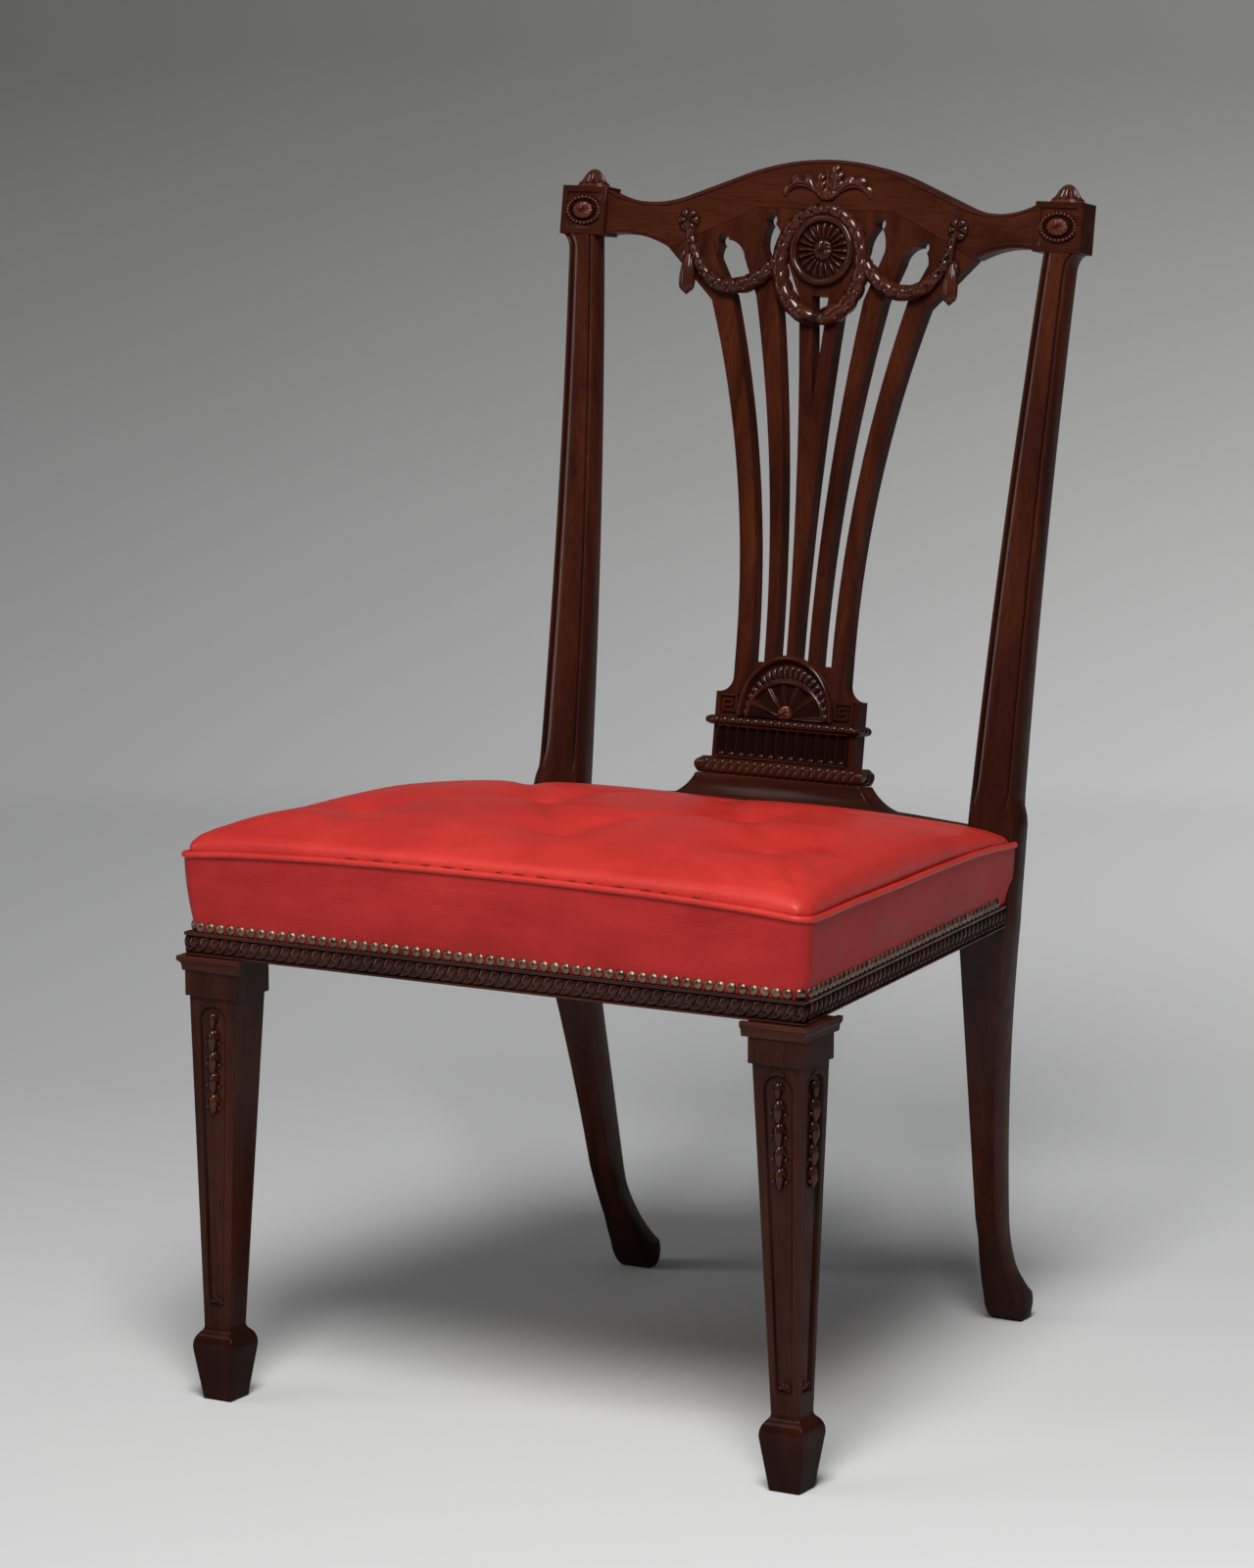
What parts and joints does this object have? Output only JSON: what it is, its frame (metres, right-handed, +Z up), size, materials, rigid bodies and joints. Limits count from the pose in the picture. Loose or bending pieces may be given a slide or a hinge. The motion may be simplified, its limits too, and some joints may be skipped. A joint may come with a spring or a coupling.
{
  "type": "fan back side chair",
  "caption": "Mahogany side chair with a pierced fan splat, carved crest, tapered front legs, raked back legs and a stuffed red leather seat edged with brass nails.",
  "frame": {"origin": "centre of the chair's bounding box in plan, on the floor", "axes": "+Z up, the seat's front faces -Y, +X to the right of someone who faces the front"},
  "size_m": [0.5592, 0.5818, 0.964],
  "materials": {
    "mahogany_frame": "polished",
    "mahogany_carving": "polished",
    "beech": "bare",
    "webbing": "woven",
    "hessian": "woven",
    "stuffing": "soft",
    "leather": "satin",
    "brass": "aged"
  },
  "bodies": {
    "root": {"front_leg_left": "mahogany_frame", "front_leg_right": "mahogany_frame", "leg_capital_left": "mahogany_carving", "leg_capital_right": "mahogany_carving", "back_leg_left": "mahogany_frame", "back_leg_right": "mahogany_frame", "front_seat_rail": "beech", "back_seat_rail": "mahogany_frame", "side_seat_rail_left": "beech", "side_seat_rail_right": "beech", "crest_rail": "mahogany_frame", "splat": "mahogany_frame", "splat_shoe": "mahogany_frame", "splat_gadroon_moulding": "mahogany_carving", "splat_bead_moulding": "mahogany_carving", "medallion": "mahogany_carving", "laurel_wreath": "mahogany_carving", "crest_rosette_left": "mahogany_carving", "crest_rosette_right": "mahogany_carving", "husk_drop_left": "mahogany_carving", "husk_drop_right": "mahogany_carving", "laurel_swag_left": "mahogany_carving", "laurel_swag_right": "mahogany_carving", "tablet_patera_left": "mahogany_carving", "tablet_patera_right": "mahogany_carving", "tablet_finial_left": "mahogany_carving", "tablet_finial_right": "mahogany_carving", "leaf_spray": "mahogany_carving", "lunette_patera": "mahogany_carving", "front_corner_block_left": "beech", "front_corner_block_right": "beech", "back_corner_block_left": "beech", "back_corner_block_right": "beech", "seat_webbing_lengthways": "webbing", "seat_webbing_crossways": "webbing", "seat_hessian": "hessian", "seat_stuffing": "stuffing", "leather_seat_top": "leather", "leather_border": "leather", "seat_welt": "leather", "front_rail_moulding": "mahogany_carving", "side_rail_moulding_left": "mahogany_carving", "side_rail_moulding_right": "mahogany_carving", "brass_nails": "brass"}
  },
  "joints": []
}
